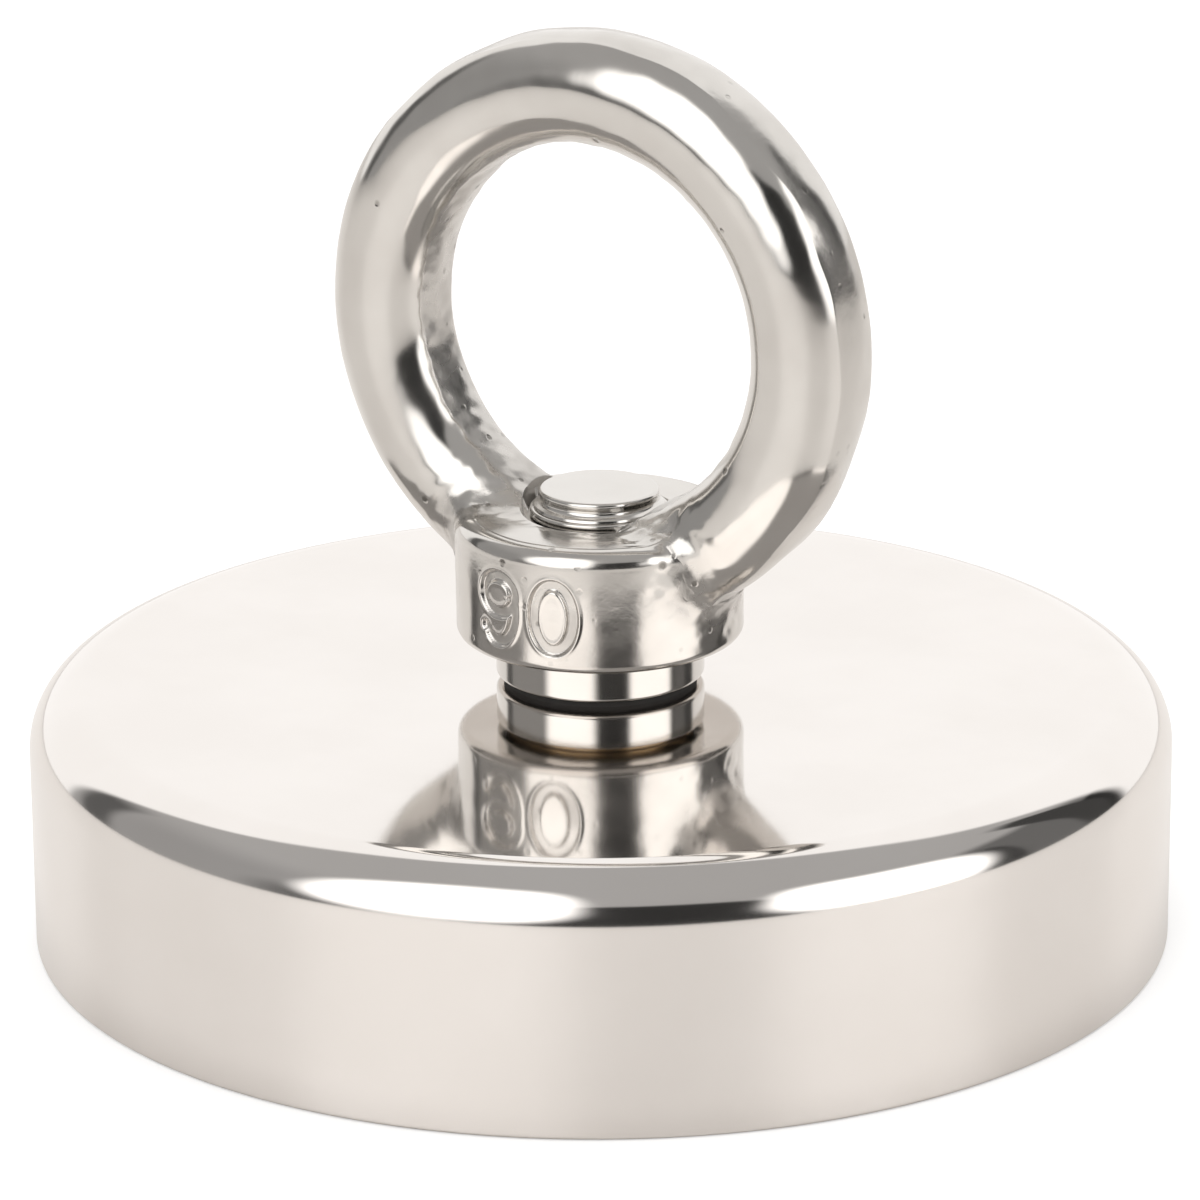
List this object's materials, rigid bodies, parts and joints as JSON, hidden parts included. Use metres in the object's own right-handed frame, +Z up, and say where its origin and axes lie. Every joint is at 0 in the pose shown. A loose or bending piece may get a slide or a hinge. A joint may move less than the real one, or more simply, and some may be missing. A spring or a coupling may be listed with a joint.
{
  "type": "magnet fishing magnet",
  "caption": "Single-sided magnet fishing magnet: nickel-plated steel pot magnet with a cast stainless eye that swivels on a collared stud.",
  "frame": {"origin": "centre of the working face, on the plane of the pot's steel rim", "axes": "+Z up along the stud, away from the working face; the eye's ring stands in the XZ plane, so +Y looks through its hole"},
  "size_m": [0.09, 0.09, 0.0727],
  "materials": {
    "nickel_plated_steel": "mirror-polished bright nickel",
    "nickel_plated_magnet": "satin nickel plating on sintered magnet",
    "potting_resin": "poured black epoxy, slightly glossy",
    "brass_sleeve": "turned",
    "plain_zinc_steel": "zinc plated",
    "fibre_seal": "matt black",
    "turned_stainless": "turned, head polished",
    "bronze_ring": "turned bronze",
    "polished_stainless": "polished",
    "cast_stainless": "investment cast, satin polished, ground along its parting line"
  },
  "bodies": {
    "magnet": {"centre_plug": "potting_resin", "centre_sleeve": "brass_sleeve", "collar_seal": "fibre_seal", "head_washer": "polished_stainless", "magnet_segment_1": "nickel_plated_magnet", "magnet_segment_2": "nickel_plated_magnet", "magnet_segment_3": "nickel_plated_magnet", "magnet_segment_4": "nickel_plated_magnet", "magnet_segment_5": "nickel_plated_magnet", "magnet_segment_6": "nickel_plated_magnet", "magnet_segment_7": "nickel_plated_magnet", "magnet_segment_8": "nickel_plated_magnet", "plain_washer": "plain_zinc_steel", "potting_resin": "potting_resin", "spring_washer": "plain_zinc_steel", "steel_pot": "nickel_plated_steel", "stud_nut": "plain_zinc_steel", "swivel_stud": "turned_stainless", "wear_ring": "bronze_ring"},
    "eye": {"swivel_eye": "cast_stainless"}
  },
  "joints": [
    {"name": "eye_swivel", "type": "hinge", "parent": "magnet", "child": "eye", "pos_m": [0, 0, 0.0291], "axis": [0, 0, 1], "continuous": true}
  ]
}
